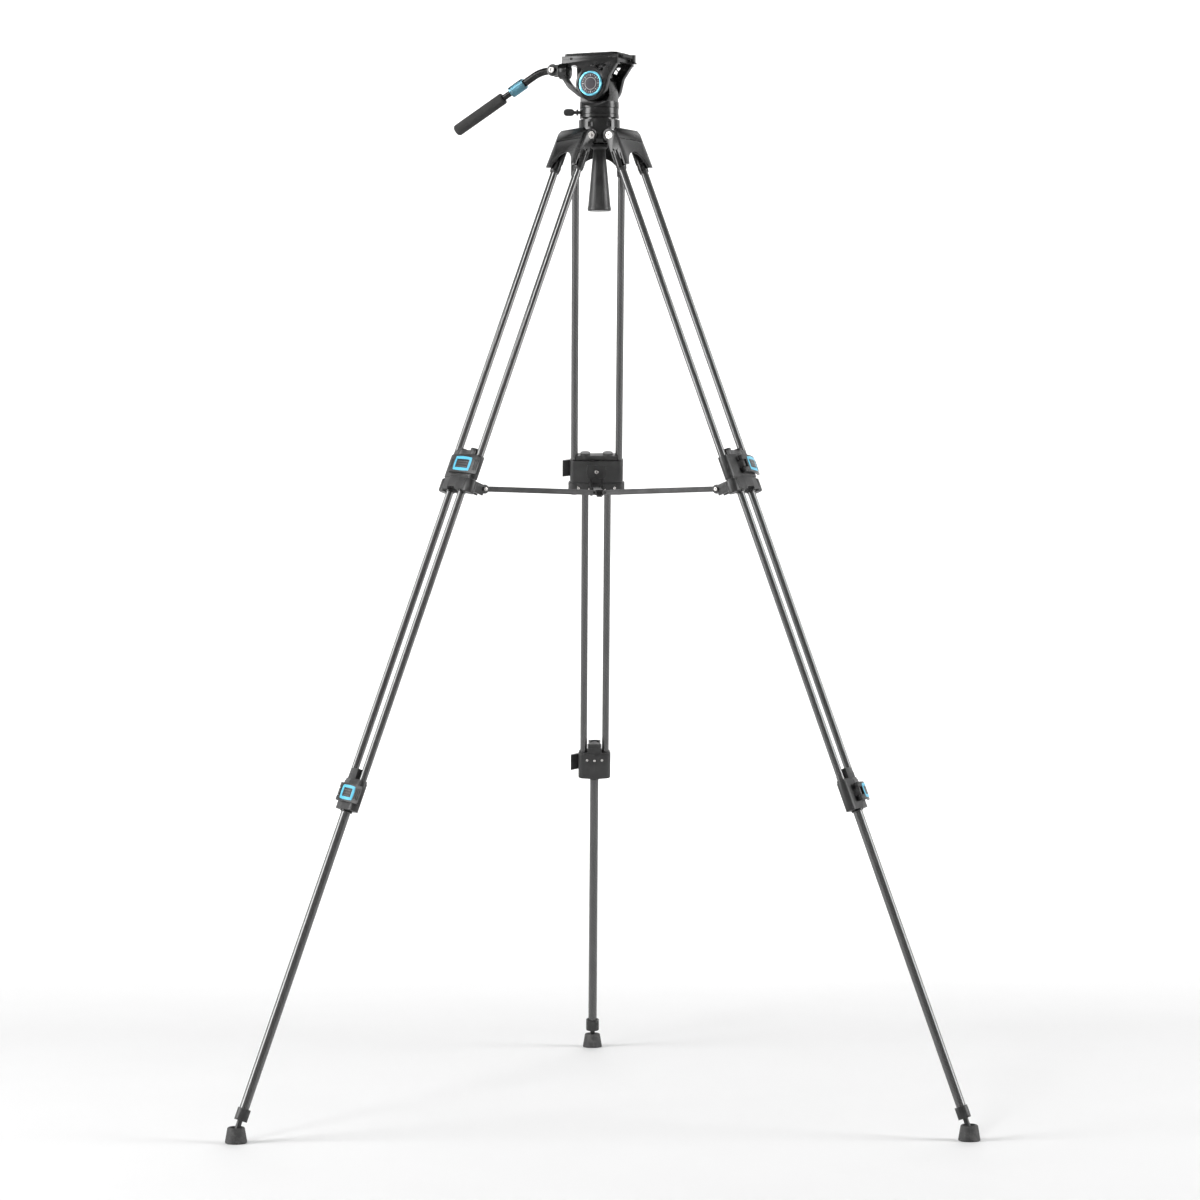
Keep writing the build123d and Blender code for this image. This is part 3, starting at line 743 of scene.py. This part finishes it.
def camera_thread():
    """The camera screw with its real thread form."""
    low, high = extent("camera_screw", HEAD)
    middle = Vector(((low.x + high.x) / 2, (low.y + high.y) / 2, 0))
    radius = mounts["camera_screw"]["dims"]["r_mm"]
    pitch, depth, length, step = 1.27, 0.6, 4.5, 0.15
    core, disc, top = 2.4, 8.0, high.z
    profile = [
        (disc - 0.4, low.z), (disc, low.z + 0.4), (disc, low.z + 2.9), (disc - 0.4, low.z + 3.3),
        (core, low.z + 3.3), (core, top - length),
    ]
    profile += [(radius, top - length + step * k) for k in range(28)]
    profile += [(core, top)]
    bm = bmesh.new()
    lathe(bm, profile, Matrix.Translation(middle), segments=48, turn=threaded(pitch, depth, radius))
    made = piece("camera_screw_thread", bm, STEEL, HEAD, "screw")
    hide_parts("camera_screw")


def foam_grip():
    """The foam grip, with its end plug at one end and a domed end at the other."""
    low, high = extent("handle_grip", GRIP)
    r, z0, z1 = (high.y - low.y) / 2, low.z, high.z
    profile = [
        (5.4, z0 + 0.6), (8.2, z0), (9.8, z0 + 0.3), (10.4, z0 + 1.1), (r, z0 + 2.5),
        (r, z0 + 40), (r, z1 - 40), (r, z1 - 6), (r - 0.3, z1 - 3.8), (r - 1.2, z1 - 1.9),
        (r - 2.6, z1 - 0.7), (r - 4.2, z1 - 0.1), (r - 6, z1 - 0.1),
    ]
    bm = bmesh.new()
    lathe(bm, profile, segments=64)
    grip = piece("foam_handle_grip", bm, FOAM, GRIP, "grip", angle=60)
    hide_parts("handle_grip")


def fluted_sleeve():
    """The blue twist sleeve: a groove near each end, and flutes between them."""
    low, high = extent("handle_sleeve", GRIP)
    r, z0, z1 = (high.y - low.y) / 2, low.z, high.z
    band, flutes, depth = 4.8, 18, 0.28

    def flute(radius, z, a):
        fluted = z0 + band < z < z1 - band
        return radius - (depth * max(0.0, math.cos(flutes * a)) if fluted else 0.0)

    end = [
        (6.7, z0), (r - 0.8, z0), (r - 0.1, z0 + 0.6), (r, z0 + 3.2),
        (r - 0.5, z0 + 3.6), (r - 0.5, z0 + 4.4), (r, z0 + band),
    ]
    start, run = z0 + band + 0.1, z1 - z0 - 2 * (band + 0.1)
    middle = [(r, start + run * k / 12) for k in range(13)]
    mirror = [(a, z0 + z1 - b) for a, b in reversed(end)]
    bm = bmesh.new()
    lathe(bm, end + middle + mirror, segments=144, turn=flute)
    sleeve = piece("fluted_sleeve", bm, BLUE, GRIP, "sleeve")
    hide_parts("handle_sleeve")


def cradle_details():
    """Screws in the sides of the cradle's rails, and a small truss behind each window."""
    bm = bmesh.new()
    for x in (-38, 36):
        for side in (-1, 1):
            point = surface("cradle", HEAD, (x, side * 20, 1833.5), (0, side, 0))
            screw(bm, point, (0, side, 0), 2.1, 0.8)
    piece("cradle_screws", bm, BLACK, HEAD, "tilt")
    low, high = 1812.5, 1821.5
    bars = (((0, high), (12, low)), ((12, low - 0.5), (18, high)), ((17, high), (25, low)))
    bm = bmesh.new()
    for side in (-1, 1):
        for (x0, z0), (x1, z1) in bars:
            a, b = Vector((x0, side * 31, z0)), Vector((x1, side * 31, z1))
            slab(bm, (-2, 2), (-0.9, 0.9), (0, (b - a).length), 0.3, aim(a, b - a))
    piece("cradle_truss", bm, CAST, HEAD, "tilt")


def clevis_bolt():
    """The bright cap on the pan bar's pivot bolt."""
    bolt = HEAD.inverted() @ Vector(joints["handle_angle"]["pos_m"])
    bolt.y = extent("handle_clevis", HEAD)[0].y
    bm = bmesh.new()
    screw(bm, bolt, (0, -1, 0), 5.0, 0.9)
    piece("clevis_bolt_cap", bm, STEEL, HEAD, "tilt")


dial_marks()
plate_pads()
camera_thread()
foam_grip()
fluted_sleeve()
cradle_details()
clevis_bolt()


# ---------------------------------------------------------------- stage, light, camera

def stage_floor():
    """A plain pale round floor that curves up into a wall on every side."""
    flat, bend, top, around, steps = 10.0, 3.0, 10.0, 96, 12
    line = [(0.02, 0.0), (2.0, 0.0), (flat, 0.0)]
    for k in range(1, steps + 1):
        a = math.pi / 2 * k / steps
        line.append((flat + bend * math.sin(a), bend - bend * math.cos(a)))
    line.append((flat + bend, top))
    turns = [2 * math.pi * k / around for k in range(around)]
    bm = bmesh.new()
    rows = [[bm.verts.new((r * math.cos(t), r * math.sin(t), z)) for t in turns] for r, z in line]
    bm.faces.new(rows[0])
    for a, b in zip(rows, rows[1:]):
        for k in range(around):
            n = (k + 1) % around
            bm.faces.new((a[k], b[k], b[n], a[n]))
    mesh = bpy.data.meshes.new("floor")
    bm.to_mesh(mesh)
    bm.free()
    floor = bpy.data.objects.new("floor", mesh)
    bpy.context.scene.collection.objects.link(floor)
    shade_smooth(mesh)
    net = Net("pale_floor", None)
    soft = net.mix(net.noise(3, 4), grey(0.80), grey(0.83))
    net.finish(soft, 0.75)
    mesh.materials.append(net.mat)


def area_light(name, place, target, size, power):
    """A rectangular lamp in metres and watts that the camera doesn't see."""
    light = bpy.data.lights.new(name, "AREA")
    light.shape = "RECTANGLE"
    light.size, light.size_y = size
    light.energy = power
    made = bpy.data.objects.new(name, light)
    bpy.context.scene.collection.objects.link(made)
    made.location = place
    made.rotation_euler = (Vector(target) - Vector(place)).to_track_quat("-Z", "Y").to_euler()
    made.visible_camera = False


def studio():
    """Two tall side panels, a key and a rim lamp, and a wash for each wall."""
    world_strength = 0.07
    world = bpy.data.worlds.new("studio")
    world.use_nodes = True
    background = world.node_tree.nodes["Background"]
    background.inputs["Color"].default_value = (1, 1, 1, 1)
    background.inputs["Strength"].default_value = world_strength
    bpy.context.scene.world = world
    area_light("key", (-2.2, -4.2, 4.6), (0, 0, 1.1), (0.9, 0.9), 70)
    area_light("left_panel", (-4.6, -1.5, 2.3), (0, 0, 1.0), (2.4, 3.8), 250)
    area_light("right_panel", (4.6, -1.0, 2.3), (0, 0, 1.0), (1.8, 3.8), 180)
    area_light("rim", (0.6, 3.0, 3.9), (0, 0, 1.3), (2.6, 1.0), 45)
    area_light("back_wash", (0, 4.0, 6.5), (0, 13, 2.0), (7.0, 1.5), 1150)
    area_light("left_wash", (-6.5, 0, 7.0), (-13, 0, 2.5), (5.0, 1.5), 150)
    area_light("right_wash", (6.5, 0, 7.0), (13, 0, 2.5), (5.0, 1.5), 150)
    area_light("front_wash", (0, -7.5, 7.0), (0, -13, 2.5), (5.0, 1.5), 90)
    bpy.context.scene.view_settings.view_transform = "Standard"


def camera():
    """The photo's view: from the front, a little left, looking slightly down."""
    down, right = 0.02732, 0.0194
    data = bpy.data.cameras.new("camera")
    data.lens, data.sensor_width = 109.5, 36.0
    data.clip_start, data.clip_end = 0.1, 100.0
    made = bpy.data.objects.new("camera", data)
    bpy.context.scene.collection.objects.link(made)
    made.location = (-0.1228, -6.5659, 1.0657)
    made.rotation_euler = (math.pi / 2 - down, 0.0, -right)
    bpy.context.scene.camera = made


stage_floor()
studio()
camera()
